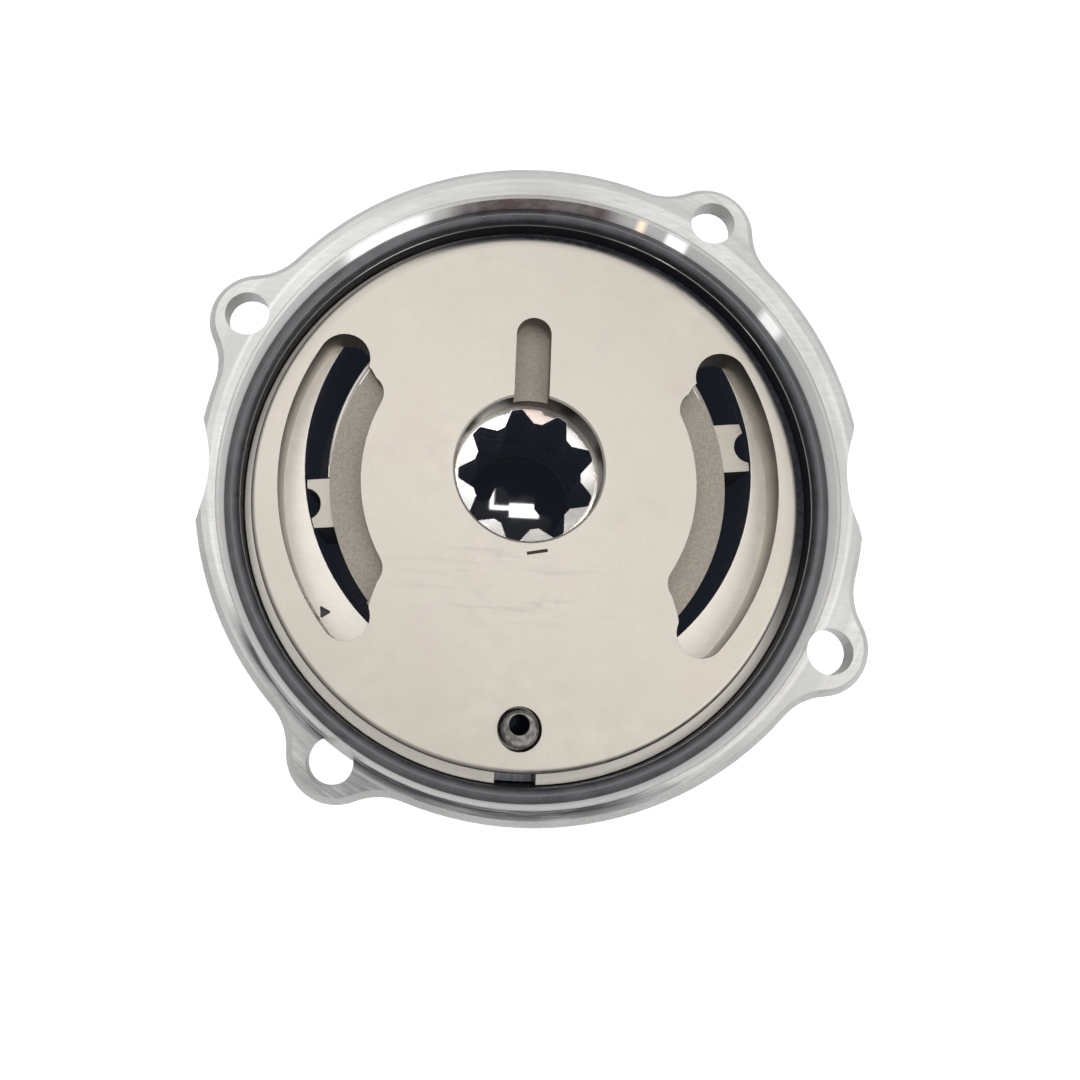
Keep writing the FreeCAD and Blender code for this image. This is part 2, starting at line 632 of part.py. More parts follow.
# ==========================================================================
# guide rings
# ==========================================================================
def guide(label, z):
    o = cut(label, cyl(label + "_disc", "guide_out", "guide_thick", "cam_cx", "cam_cy", z),
            cyl(label + "_hole", "guide_in", "guide_thick + 2", "cam_cx", "cam_cy", z + " - 1"))
    o.Label = label
    return o


guide_f = guide("guide_ring_front", "plate_top - plate_thick - guide_thick - 0.15")
guide_r = guide("guide_ring_rear", cam_low + " + 0.15")

# ==========================================================================
# pins
# ==========================================================================
sleeve = body("sleeve_pin")
s = sketch(sleeve, "sleeve_ring")
s_circle(s, "sleeve_out", guess=(0, 0, D["sleeve_out"]))
s_circle(s, "sleeve_in", "sleeve_off_x", "sleeve_off_y", (D["sleeve_off_x"], D["sleeve_off_y"], D["sleeve_in"]))
sleeve_pad = pad(sleeve, "sleeve_tube", s, "sleeve_top - sleeve_end", down=True)
dress(sleeve, "Chamfer", "sleeve_ends", sleeve_pad,
      lambda e: abs(e.BoundBox.XMax - D["sleeve_out"]) < 1e-3 and e.BoundBox.ZLength < 1e-4, "sleeve_bevel")
place(sleeve, "0", "pin_y", "sleeve_top")

dowel = body("rear_locating_pin")
s = sketch(dowel, "dowel_disc")
s_circle(s, "dowel_rad", guess=(0, 0, D["dowel_rad"]))
dowel_pad = pad(dowel, "dowel", s, "dowel_top - dowel_end", down=True)
dress(dowel, "Chamfer", "dowel_ends", dowel_pad, lambda e: e.BoundBox.ZLength < 1e-4, "sleeve_bevel")
place(dowel, "0", "dowel_y", "dowel_top")

# ==========================================================================
# rear_port_plate
# ==========================================================================
rear_low = cam_low + " - rear_thick"
rear_blank = fuse("rear_blank",
                  cyl("rear_disc", "cam_out", "rear_thick", "0", "0", rear_low),
                  cyl("rear_hub", "hub_rad", "hub_drop + 1", "rotor_cx", "rotor_cy", rear_low + " - hub_drop"))
rear_tools = []
rear_tools += port_tools("rear_port_r", 1, cam_low + " - rear_pocket", "rear_pocket + 1")
rear_tools += port_tools("rear_port_l", -1, cam_low + " - rear_pocket", "rear_pocket + 1")
rear_tools.append(cyl("rear_bore_tool", "rear_bore", "rear_thick + hub_drop + 2", "rotor_cx", "rotor_cy",
                      rear_low + " - hub_drop - 1"))
rear_tools.append(cut("rear_side_groove",
                      cyl("rear_groove_out", "cam_out + 1", "side_groove", "0", "0",
                          cam_low + " - rear_thick / 2 - side_groove / 2"),
                      cyl("rear_groove_in", "side_groove_r", "side_groove + 2", "0", "0",
                          cam_low + " - rear_thick / 2 - side_groove / 2 - 1")))
rear_tools.append(cut("rear_feed_ring",
                      cyl("rear_feed_out", "feed_out", "feed_deep + 1", "rotor_cx", "rotor_cy", cam_low + " - feed_deep"),
                      cyl("rear_feed_in", "feed_in", "feed_deep + 3", "rotor_cx", "rotor_cy", cam_low + " - feed_deep - 1")))
rear_tools.append(cyl("rear_pin_tool", "sleeve_hole", "cam_height", "0", "pin_y", "sleeve_end - 0.1"))
rear_tools.append(cyl("rear_dowel_tool", "dowel_hole", "5", "0", "dowel_y", "dowel_top + 0.1 - 5"))
rear = cut("rear_port_plate", rear_blank, fuse("rear_tools", *rear_tools))
rear.Label = "rear_port_plate"

# ==========================================================================
# disc_spring: conical washer between the rear plate and the cavity floor
# ==========================================================================
disc = body("disc_spring")
s = sketch(disc, "disc_section", role="XZ_Plane")
zt = D["plate_top"] - D["plate_thick"] - D["cam_height"] - D["rear_thick"] - 0.03
zb = D["cavity_floor"] + 0.03
top = "plate_top - plate_thick - cam_height - rear_thick - 0.03"
bot = "cavity_floor + 0.03"
s_polygon(s, [("disc_in", top, D["disc_in"], zt), ("disc_in", top + " - disc_thick", D["disc_in"], zt - D["disc_thick"]),
              ("disc_out", bot, D["disc_out"], zb), ("disc_out", bot + " + disc_thick", D["disc_out"], zb + D["disc_thick"])])
revolve(disc, "disc_cone", s)

# ==========================================================================
# pilot_bush and end_plug in the centre bore
# ==========================================================================
bush = body("pilot_bush")
s = sketch(bush, "bush_ring")
s_circle(s, "bush_out", guess=(0, 0, D["bush_out"]))
s_circle(s, "bush_in", guess=(0, 0, D["bush_in"]))
bush_pad = pad(bush, "bush_tube", s, "bush_top - bush_end", down=True)
dress(bush, "Chamfer", "bush_lead", bush_pad,
      lambda e: abs(e.BoundBox.XMax - D["bush_in"]) < 1e-3 and abs(e.BoundBox.ZMax) < 1e-4 and abs(e.BoundBox.ZMin) < 1e-4,
      "0.4")
place(bush, "rotor_cx", "rotor_cy", "bush_top")

plug = body("end_plug")
s = sketch(plug, "plug_disc")
s_circle(s, "plug_out", guess=(0, 0, D["plug_out"]))
plug_pad = pad(plug, "plug_cup", s, "plug_top - plug_end", down=True)
s = sketch(plug, "plug_hollow", z="-(plug_top - plug_end)")
s_circle(s, "plug_out - plug_wall", guess=(0, 0, D["plug_out"] - D["plug_wall"]))
plug_hollow = pocket(plug, "plug_inside", s, "plug_top - plug_end - plug_wall", up=True)
dress(plug, "Fillet", "plug_round", plug_hollow,
      lambda e: abs(e.BoundBox.XMax - D["plug_out"]) < 1e-3 and abs(e.BoundBox.ZMax) < 1e-4 and abs(e.BoundBox.ZMin) < 1e-4,
      "0.8")
place(plug, "rotor_cx", "rotor_cy", "plug_top")

# ==========================================================================
# relief valve
# ==========================================================================
poppet = body("relief_poppet")
s = sketch(poppet, "poppet_section", role="XZ_Plane")
gap = 0.02
s_polygon(s, [("0.001", "relief_inlet - 1.3", 0.001, D["relief_inlet"] - 1.3),
              ("poppet_nose", "relief_inlet - 1.3", D["poppet_nose"], D["relief_inlet"] - 1.3),
              ("relief_inlet - 0.05", "-0.02", D["relief_inlet"] - 0.05, -0.02),
              ("poppet_rad", "-0.02", D["poppet_rad"], -0.02),
              ("poppet_rad", "poppet_end - relief_seat", D["poppet_rad"], D["poppet_end"] - D["relief_seat"]),
              ("1.7", "poppet_end - relief_seat", 1.7, D["poppet_end"] - D["relief_seat"]),
              ("1.7", "poppet_end - relief_seat - 0.7", 1.7, D["poppet_end"] - D["relief_seat"] - 0.7),
              ("0.001", "poppet_end - relief_seat - 0.7", 0.001, D["poppet_end"] - D["relief_seat"] - 0.7)])
revolve(poppet, "poppet_turned", s)
place(poppet, "relief_x", "relief_y", "relief_seat")

relief_plug = body("relief_plug")
s = sketch(relief_plug, "relief_plug_disc")
s_circle(s, "relief_plug_r", guess=(0, 0, D["relief_plug_r"]))
rp = pad(relief_plug, "relief_plug_body", s, "thread_top - plug_back - 0.02", down=True)
s = sketch(relief_plug, "hex_socket_outline", z="-(thread_top - plug_back - 0.02)")
hx = D["hex_half"] / math.cos(math.radians(30))
s_polygon(s, [("hex_half / cos(30) * cos(%d)" % a, "hex_half / cos(30) * sin(%d)" % a,
               hx * math.cos(math.radians(a)), hx * math.sin(math.radians(a))) for a in (15, 75, 135, 195, 255, 315)])
pocket(relief_plug, "hex_socket", s, "hex_deep", up=True)
place(relief_plug, "relief_x", "relief_y", "thread_top - 0.02")

# coil spring: round wire swept along a helix between poppet and plug
spring = doc.addObject("Part::Feature", "relief_spring")
spring.Label = "relief_spring"
wire_r = D_("spring_wire")
z_low = D_("thread_top") + wire_r + 0.02
z_high = D_("poppet_end") - wire_r - 0.02
pitch = (z_high - z_low) / D_("spring_turns")
helix = Part.makeHelix(pitch, z_high - z_low, D_("spring_mid"))
start = helix.Edges[0].valueAt(helix.Edges[0].FirstParameter)
tangent = helix.Edges[0].tangentAt(helix.Edges[0].FirstParameter)
section = Part.Wire([Part.makeCircle(wire_r, start, tangent)])
coil = Part.Wire(helix.Edges).makePipeShell([section], True, True)
spring.Shape = coil
spring.Placement = FreeCAD.Placement(V(D_("relief_x"), D_("relief_y"), z_low), FreeCAD.Rotation())

# --------------------------------------------------------------------------
# checks and export
# --------------------------------------------------------------------------
doc.recompute()
bad = []
for o in doc.Objects:
    state = list(o.State)
    if "Invalid" in state or "Error" in state:
        bad.append((o.Name, state))
if bad:
    raise RuntimeError("failed objects: %r" % bad)

NODES = [
    ("pump_housing", housing), ("face_o_ring", face_o_ring), ("front_port_plate", front),
    ("cam_ring", cam), ("rotor", rotor),
    ("vane_1", vanes[0]), ("vane_2", vanes[1]), ("vane_3", vanes[2]), ("vane_4", vanes[3]),
    ("guide_ring_front", guide_f), ("guide_ring_rear", guide_r),
    ("sleeve_pin", sleeve), ("rear_locating_pin", dowel),
    ("rear_port_plate", rear), ("outer_seal_ring", outer_seal), ("inner_seal_ring", inner_seal),
    ("disc_spring", disc), ("pilot_bush", bush), ("end_plug", plug),
    ("relief_poppet", poppet), ("relief_spring", spring), ("relief_plug", relief_plug),
]
os.makedirs("parts", exist_ok=True)
for node, obj in NODES:
    shape = obj.Shape
    if shape.isNull() or not shape.isValid() or not shape.Solids:
        raise RuntimeError("bad shape: " + node)
for node, obj in NODES:
    shape = obj.Shape
    shape.exportStep(os.path.join("parts", node + ".step"))
    bb = shape.BoundBox
    print("%-20s solids %d volume %10.1f  x %7.2f %7.2f  y %7.2f %7.2f  z %7.2f %7.2f" % (
        node, len(shape.Solids), shape.Volume, bb.XMin, bb.XMax, bb.YMin, bb.YMax, bb.ZMin, bb.ZMax))
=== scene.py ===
import math

import bmesh
import bpy
from mathutils import Euler, Matrix, Vector


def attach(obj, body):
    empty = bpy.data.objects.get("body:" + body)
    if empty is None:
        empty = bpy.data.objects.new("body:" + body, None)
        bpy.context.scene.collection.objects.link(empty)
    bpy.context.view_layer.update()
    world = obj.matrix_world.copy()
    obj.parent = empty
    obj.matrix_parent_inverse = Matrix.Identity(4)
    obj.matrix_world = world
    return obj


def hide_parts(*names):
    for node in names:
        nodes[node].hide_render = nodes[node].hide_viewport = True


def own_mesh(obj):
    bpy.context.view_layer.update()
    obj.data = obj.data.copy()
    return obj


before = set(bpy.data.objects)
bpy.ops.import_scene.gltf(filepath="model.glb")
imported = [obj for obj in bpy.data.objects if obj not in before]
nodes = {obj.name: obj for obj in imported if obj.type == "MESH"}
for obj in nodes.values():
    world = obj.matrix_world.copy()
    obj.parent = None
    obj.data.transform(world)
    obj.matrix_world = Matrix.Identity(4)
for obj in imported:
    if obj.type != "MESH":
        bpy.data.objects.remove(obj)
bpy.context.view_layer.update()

MM = 0.001
scene = bpy.context.scene

# centres in the row frame, in millimetres
ROTOR = (0.0, 2.5)
CAM = (0.2, 3.9)
PORT = (0.0, 1.2)
PLATE = (-0.35, -0.35)
FLANGE = (0.2, 0.9)
PLATE_TOP = -1.7
CAM_TOP = -6.5


# --------------------------------------------------------------------------
# node helpers
# --------------------------------------------------------------------------
class Mat:
    """A small builder for one node material. Coordinates are in millimetres."""

    def __init__(self, name):
        self.m = bpy.data.materials.new(name)
        self.m.use_nodes = True
        self.nt = self.m.node_tree
        self.n = self.nt.nodes
        self.b = self.n["Principled BSDF"]
        tc = self.n.new("ShaderNodeTexCoord")
        mp = self.n.new("ShaderNodeVectorMath")
        mp.operation = "SCALE"
        mp.inputs["Scale"].default_value = 1000.0
        self.nt.links.new(tc.outputs["Object"], mp.inputs[0])
        self.co = mp.outputs[0]
        self._xyz = None
        self._nor = None

    def link(self, a, b):
        self.nt.links.new(a, b)

    def put(self, value, socket):
        if isinstance(value, (int, float)):
            socket.default_value = value
        elif isinstance(value, (tuple, list)):
            v = list(value)
            if len(socket.default_value) == 4 and len(v) == 3:
                v.append(1.0)
            socket.default_value = v
        else:
            self.link(value, socket)

    def math(self, op, a, b=0.0, c=0.0, clamp=False):
        nd = self.n.new("ShaderNodeMath")
        nd.operation = op
        nd.use_clamp = clamp
        self.put(a, nd.inputs[0])
        if len(nd.inputs) > 1:
            self.put(b, nd.inputs[1])
        if len(nd.inputs) > 2:
            self.put(c, nd.inputs[2])
        return nd.outputs[0]

    def add(self, a, b):
        return self.math("ADD", a, b)

    def mul(self, a, b):
        return self.math("MULTIPLY", a, b)

    def sub(self, a, b):
        return self.math("SUBTRACT", a, b)

    def xyz(self):
        if self._xyz is None:
            nd = self.n.new("ShaderNodeSeparateXYZ")
            self.link(self.co, nd.inputs[0])
            self._xyz = nd.outputs
        return self._xyz

    def normal(self):
        if self._nor is None:
            tc = self.n.new("ShaderNodeTexCoord")
            nd = self.n.new("ShaderNodeSeparateXYZ")
            self.link(tc.outputs["Normal"], nd.inputs[0])
            self._nor = nd.outputs
        return self._nor

    def radius(self, c):
        """Distance from the axis through c."""
        x, y, _ = self.xyz()
        dx, dy = self.sub(x, c[0]), self.sub(y, c[1])
        return self.math("SQRT", self.add(self.mul(dx, dx), self.mul(dy, dy)))

    def angle(self, c):
        x, y, _ = self.xyz()
        return self.math("ARCTAN2", self.sub(y, c[1]), self.sub(x, c[0]))

    def vec(self, x, y, z):
        nd = self.n.new("ShaderNodeCombineXYZ")
        self.put(x, nd.inputs[0])
        self.put(y, nd.inputs[1])
        self.put(z, nd.inputs[2])
        return nd.outputs[0]

    def stretch(self, sx, sy, sz, vec=None, turn=0.0):
        nd = self.n.new("ShaderNodeMapping")
        self.link(vec or self.co, nd.inputs["Vector"])
        nd.inputs["Scale"].default_value = (sx, sy, sz)
        nd.inputs["Rotation"].default_value = (0, 0, turn)
        return nd.outputs[0]

    def noise(self, scale, detail=4.0, rough=0.55, vec=None, distort=0.0):
        nd = self.n.new("ShaderNodeTexNoise")
        nd.inputs["Scale"].default_value = scale
        nd.inputs["Detail"].default_value = detail
        nd.inputs["Roughness"].default_value = rough
        nd.inputs["Distortion"].default_value = distort
        self.link(vec or self.co, nd.inputs["Vector"])
        return nd.outputs["Fac"]

    def voronoi(self, scale, vec=None, feature="F1"):
        nd = self.n.new("ShaderNodeTexVoronoi")
        nd.feature = feature
        nd.inputs["Scale"].default_value = scale
        self.link(vec or self.co, nd.inputs["Vector"])
        return nd.outputs["Distance"]

    def remap(self, v, a, b, lo=0.0, hi=1.0, smooth=False):
        nd = self.n.new("ShaderNodeMapRange")
        nd.interpolation_type = "SMOOTHSTEP" if smooth else "LINEAR"
        nd.clamp = True
        self.put(v, nd.inputs["Value"])
        nd.inputs["From Min"].default_value = a
        nd.inputs["From Max"].default_value = b
        nd.inputs["To Min"].default_value = lo
        nd.inputs["To Max"].default_value = hi
        return nd.outputs["Result"]

    def band(self, v, a, b, soft):
        """1 between a and b, with soft ends."""
        return self.mul(self.remap(v, a - soft, a + soft, smooth=True),
                        self.remap(v, b - soft, b + soft, 1.0, 0.0, smooth=True))

    def mix(self, fac, a, b):
        nd = self.n.new("ShaderNodeMix")
        nd.data_type = "RGBA"
        self.put(fac, nd.inputs[0])
        rgba = [s for s in nd.inputs if s.type == "RGBA"]
        self.put(a, rgba[0])
        self.put(b, rgba[1])
        return [o for o in nd.outputs if o.type == "RGBA"][0]

    def mixf(self, fac, a, b):
        return self.add(self.mul(self.sub(1.0, fac), a), self.mul(fac, b))

    def bump(self, height, strength, distance, prev=None):
        nd = self.n.new("ShaderNodeBump")
        nd.inputs["Strength"].default_value = strength
        nd.inputs["Distance"].default_value = distance * MM
        self.link(height, nd.inputs["Height"])
        if prev is not None:
            self.link(prev, nd.inputs["Normal"])
        return nd.outputs["Normal"]

    def out(self, color=None, rough=None, metal=None, normal=None, **fixed):
        if color is not None:
            self.put(color, self.b.inputs["Base Color"])
        if rough is not None:
            self.put(rough, self.b.inputs["Roughness"])
        if metal is not None:
            self.put(metal, self.b.inputs["Metallic"])
        if normal is not None:
            self.link(normal, self.b.inputs["Normal"])
        for k, v in fixed.items():
            self.put(v, self.b.inputs[k.replace("_", " ")])
        return self.m


# --------------------------------------------------------------------------
# materials
# --------------------------------------------------------------------------
def housing_material():
    m = Mat("housing_cast_aluminium")
    x, y, z = m.xyz()
    nx, ny, nz = m.normal()
    r = m.radius((0.0, 0.0))
    rf = m.radius(FLANGE)
    a = m.angle((0.0, 0.0))
    up = m.remap(nz, 0.90, 0.98)
    face = m.mul(up, m.remap(z, -0.25, -0.05))
    wall = m.mul(m.mul(m.remap(r, 35.9, 35.7), m.remap(r, 33.0, 33.4)),
                 m.mul(m.remap(z, -4.5, -4.25), m.remap(nz, 0.80, 0.6)))
    cavity_shade = m.mul(m.remap(r, 34.2, 34.0), m.mul(m.remap(z, -4.0, -4.25), m.remap(z, -31.4, -31.2)))
    # casting grain and cloudy tone
    grain = m.noise(2.6, 8.0, 0.62)
    pits = m.voronoi(1.7)
    cloud = m.noise(0.16, 4.0, 0.55)
    cloud2 = m.noise(0.045, 2.0, 0.5)
    # lay of the machined face: long faint arcs about the bore
    ring_vec = m.vec(m.mul(r, 2.2), m.mul(a, 3.2), 0.0)
    lay = m.noise(1.6, 6.0, 0.7, vec=ring_vec)
    broad_vec = m.vec(m.mul(r, 0.75), m.mul(a, 1.6), 0.0)
    broad = m.noise(1.1, 4.0, 0.6, vec=broad_vec, distort=0.4)
    streak_vec = m.stretch(0.55, 3.4, 1.0, turn=math.radians(62))
    streak = m.noise(0.6, 5.0, 0.6, vec=streak_vec, distort=0.3)
    # lay of the turned bore wall
    turn_vec = m.vec(m.mul(z, 9.0), m.mul(a, 1.4), 0.0)
    turned = m.noise(2.0, 5.0, 0.6, vec=turn_vec)

    cast = m.mix(m.remap(m.add(m.mul(grain, 0.6), m.mul(cloud, 0.4)), 0.32, 0.68),
                 (0.42, 0.42, 0.415), (0.62, 0.62, 0.61))
    tone = m.add(m.add(m.mul(lay, 0.30), m.mul(streak, 0.25)), m.add(m.mul(cloud, 0.20), m.mul(broad, 0.25)))
    faced = m.mix(m.remap(tone, 0.38, 0.62), (0.43, 0.43, 0.42), (0.68, 0.68, 0.67))
    faced = m.mix(m.mul(m.remap(cloud2, 0.48, 0.60), 0.45), faced, (0.42, 0.415, 0.40))
    # outer margin of the face is a little duller; a painted highlight line, where the inner chamfer catches light,
    # bounds it
    margin = m.mul(m.remap(rf, 36.9, 37.15), m.remap(rf, 39.6, 38.9))
    faced = m.mix(m.mul(margin, 0.35), faced, (0.36, 0.36, 0.355))
    faced = m.mix(m.mul(m.band(rf, 36.60, 36.95, 0.15), m.remap(broad, 0.35, 0.65, 0.05, 0.38)), faced, (0.80, 0.80, 0.79))
    smear_vec = m.vec(m.mul(r, 1.7), m.mul(a, 2.6), 0.0)
    smear = m.noise(1.3, 5.0, 0.65, vec=smear_vec, distort=0.6)
    low = m.band(a, math.radians(-128), math.radians(-58), 0.30)
    faced = m.mix(m.mul(low, m.remap(smear, 0.36, 0.60, 0.30, 0.92)), faced, (0.155, 0.155, 0.160))
    inner = m.mul(m.band(a, math.radians(-152), math.radians(-72), 0.12), m.remap(r, 37.0, 36.2))
    faced = m.mix(m.mul(inner, m.remap(smear, 0.34, 0.52, 0.35, 0.95)), faced, (0.050, 0.050, 0.056))
    high = m.band(a, math.radians(84), math.radians(122), 0.25)
    faced = m.mix(m.mul(high, 0.35), faced, (0.40, 0.395, 0.385))
    nicks = m.mul(m.remap(m.noise(0.9, 7.0, 0.75), 0.60, 0.70), 0.5)
    faced = m.mix(nicks, faced, (0.34, 0.335, 0.33))
    col = m.mix(face, cast, faced)
    # bore wall: turned metal with a painted warm dark reflection at the top and painted highlights and a glint beside
    # it
    spread = m.remap(m.noise(0.35, 3.0, 0.6), 0.25, 0.6, 0.70, 1.0)
    painted_dark_reflection = m.mul(m.mul(m.band(a, math.radians(75), math.radians(107), 0.06), spread), wall)
    painted_shine = m.mul(m.add(m.add(m.band(a, math.radians(59.5), math.radians(64.0), 0.012),
                              m.mul(m.band(a, math.radians(34.5), math.radians(40.0), 0.02), 0.75)),
                        m.band(a, math.radians(113), math.radians(130), 0.05)), wall)
    painted_glint = m.mul(m.band(a, math.radians(68.6), math.radians(70.2), 0.012), wall)
    wallcol = m.mix(m.remap(turned, 0.3, 0.7), (0.62, 0.62, 0.615), (0.84, 0.84, 0.835))
    wallcol = m.mix(m.mul(painted_dark_reflection, 0.93), wallcol, (0.085, 0.058, 0.054))
    wallcol = m.mix(m.math("MINIMUM", painted_shine, 1.0), wallcol, (0.99, 0.99, 0.985))
    wallcol = m.mix(painted_glint, wallcol, (0.99, 0.90, 0.76))
    col = m.mix(wall, col, wallcol)
    # painted shade darkens the cavity walls inside the bore below the seal seat
    col = m.mix(m.mul(cavity_shade, 0.9), col, (0.10, 0.10, 0.105))
    rough = m.mixf(face, m.remap(grain, 0.3, 0.7, 0.50, 0.66), m.remap(tone, 0.35, 0.65, 0.40, 0.52))
    rough = m.mixf(wall, rough, m.remap(turned, 0.3, 0.7, 0.34, 0.44))
    bright = m.math("MINIMUM", m.add(painted_shine, painted_glint), 1.0)
    metal = m.sub(1.0, m.mul(wall, m.add(0.45, m.mul(bright, 0.45))))
    # painted glow (emission) on the wall, standing in for light the pale plate throws back; it also carries the painted
    # highlights, glint and dark reflection
    tonew = m.remap(turned, 0.3, 0.7, 0.92, 1.06)
    glow = m.mix(m.mul(painted_dark_reflection, 0.96), (0.30, 0.30, 0.293), (0.058, 0.040, 0.040))
    glow = m.mix(m.math("MINIMUM", painted_shine, 1.0), glow, (0.82, 0.82, 0.81))
    glow = m.mix(painted_glint, glow, (0.80, 0.66, 0.50))
    glow = m.mix(m.mul(wall, m.mul(tonew, 0.94)), (0.0, 0.0, 0.0), glow)
    h = m.add(m.mul(grain, 0.7), m.mul(m.remap(pits, 0.0, 0.35), 0.3))
    h = m.mul(h, m.sub(1.0, m.add(m.mul(face, 0.82), m.mul(wall, 0.96))))
    h2 = m.add(m.mul(m.mul(m.add(lay, broad), face), 0.10), m.mul(m.mul(turned, wall), 0.05))
    nor = m.bump(m.add(h, h2), 0.55, 0.09)
    return m.out(col, rough, metal, nor, Emission_Color=glow, Emission_Strength=1.0)


def plate_material(name, top_z, shelves):
    m = Mat(name)
    x, y, z = m.xyz()
    nx, ny, nz = m.normal()
    r = m.radius(PLATE)
    up = m.remap(nz, 0.90, 0.98)
    warm = m.noise(0.06, 2.0, 0.5)
    fine = m.noise(5.5, 6.0, 0.6)
    mottle = m.noise(0.42, 5.0, 0.6)
    cloud = m.noise(0.11, 3.0, 0.5)
    # long shallow wipe marks, low and left of the middle
    wipe_vec = m.stretch(0.12, 1.5, 1.0, turn=math.radians(-8))
    wipe = m.noise(0.9, 5.0, 0.6, vec=wipe_vec, distort=0.5)
    where = m.mul(m.band(x, -13.0, 9.0, 7.0), m.band(y, -16.5, -7.5, 3.5))
    swirl_vec = m.vec(m.mul(m.radius((-3.0, -9.0)), 1.5), m.mul(m.angle((-3.0, -9.0)), 2.0), 0.0)
    swirl = m.noise(0.9, 4.0, 0.6, vec=swirl_vec)
    col = m.mix(m.remap(mottle, 0.33, 0.67), (0.480, 0.447, 0.393), (0.548, 0.513, 0.457))
    col = m.mix(m.remap(cloud, 0.42, 0.66, 0.0, 0.55), col, (0.492, 0.454, 0.398))
    col = m.mix(m.mul(m.remap(fine, 0.52, 0.72), 0.22), col, (0.61, 0.59, 0.55))
    col = m.mix(m.mul(m.remap(warm, 0.45, 0.62), 0.30), col, (0.535, 0.482, 0.442))
    scuff = m.mul(where, m.add(m.mul(m.remap(wipe, 0.54, 0.70), 0.7), m.mul(m.remap(swirl, 0.55, 0.75), 0.3)))
    col = m.mix(m.mul(scuff, 0.62), col, (0.29, 0.275, 0.255))
    # faint swirl under the bore and a grey smudge right of the groove
    smudge = m.mul(m.band(x, 2.5, 9.0, 2.0), m.band(y, 13.0, 21.0, 3.0))
    col = m.mix(m.mul(m.mul(smudge, m.remap(mottle, 0.35, 0.65)), 0.16), col, (0.42, 0.41, 0.38))
    a = m.angle(PLATE)
    toward = m.remap(m.add(m.mul(m.math("COSINE", m.sub(a, math.radians(75))), 1.0), 0.0), -0.2, 0.9)
    # side walls: painted shade, darker further below the top face
    side = m.remap(nz, 0.55, 0.25)
    side_shade_col = m.mix(m.remap(z, top_z - 4.8, top_z - 0.3), (0.52, 0.485, 0.43), (0.105, 0.086, 0.066))
    col = m.mix(m.mul(side, 0.85), col, side_shade_col)
    # rounded outer edge: dull, with painted shade making it nearly black on the side away from the pin, plus a softer
    # painted shade band just inside it there
    shaded_rim = m.remap(r, 31.25, 31.62)
    col = m.mix(m.mul(shaded_rim, m.mixf(toward, 0.62, 0.94)), col, (0.035, 0.034, 0.034))
    soft = m.mul(m.mul(m.remap(r, 30.2, 31.4), toward), 0.50)
    col = m.mix(soft, col, (0.12, 0.118, 0.11))
    crown_shade = m.remap(m.math("COSINE", m.sub(a, math.radians(86))), 0.80, 0.98, smooth=True)
    col = m.mix(m.mul(m.mul(m.remap(r, 30.75, 31.15), crown_shade), 0.93), col, (0.030, 0.030, 0.032))
    # bore wall: brown shadow-toned crescent
    rb = m.radius(ROTOR)
    ab = m.angle(ROTOR)
    near = m.mul(m.remap(rb, 9.25, 9.0), m.remap(nz, 0.5, 0.2))
    dusk = m.remap(m.math("COSINE", m.sub(ab, math.radians(62))), 0.35, 0.95)
    col = m.mix(m.mul(near, m.mixf(dusk, 0.35, 0.93)), col, (0.055, 0.043, 0.034))
    rough = m.remap(m.add(m.mul(fine, 0.5), m.mul(mottle, 0.5)), 0.35, 0.65, 0.40, 0.54)
    h = m.add(m.mul(fine, 0.5), m.mul(m.noise(14.0, 3.0, 0.5), 0.5))
    if shelves:
        low = m.mul(up, m.remap(z, top_z - 0.9, top_z - 1.2))
        sinter = m.noise(4.2, 8.0, 0.75)
        specks = m.voronoi(3.4)
        rough_col = m.mix(m.remap(sinter, 0.35, 0.65), (0.205, 0.183, 0.156), (0.43, 0.392, 0.34))
        rough_col = m.mix(m.mul(m.remap(specks, 0.24, 0.10), 0.35), rough_col, (0.16, 0.145, 0.125))
        col = m.mix(low, col, rough_col)
        # painted shade on the wall of the small cut in the shelf
        cut = m.mul(m.mul(m.remap(z, top_z - 0.07, top_z - 0.12), m.remap(z, top_z - 0.6, top_z - 0.5)),
                    m.mul(m.band(y, -8.6, -6.9, 0.05), m.band(x, -1.0, 3.6, 0.05)))
        cut = m.mul(cut, m.remap(rb, 9.55, 9.65))
        col = m.mix(cut, col, (0.045, 0.036, 0.030))
        rough = m.mixf(low, rough, m.remap(sinter, 0.3, 0.7, 0.50, 0.72))
        h = m.add(m.mul(h, m.sub(1.0, low)), m.mul(m.mul(sinter, low), 3.2))
    nor = m.bump(h, 0.35, 0.022)
    return m.out(col, rough, 0.9, nor)


# faint painted glow (emission) that lifts the oily blacks like a haze
VEIL_GLOW = (0.0080, 0.0092, 0.0136)


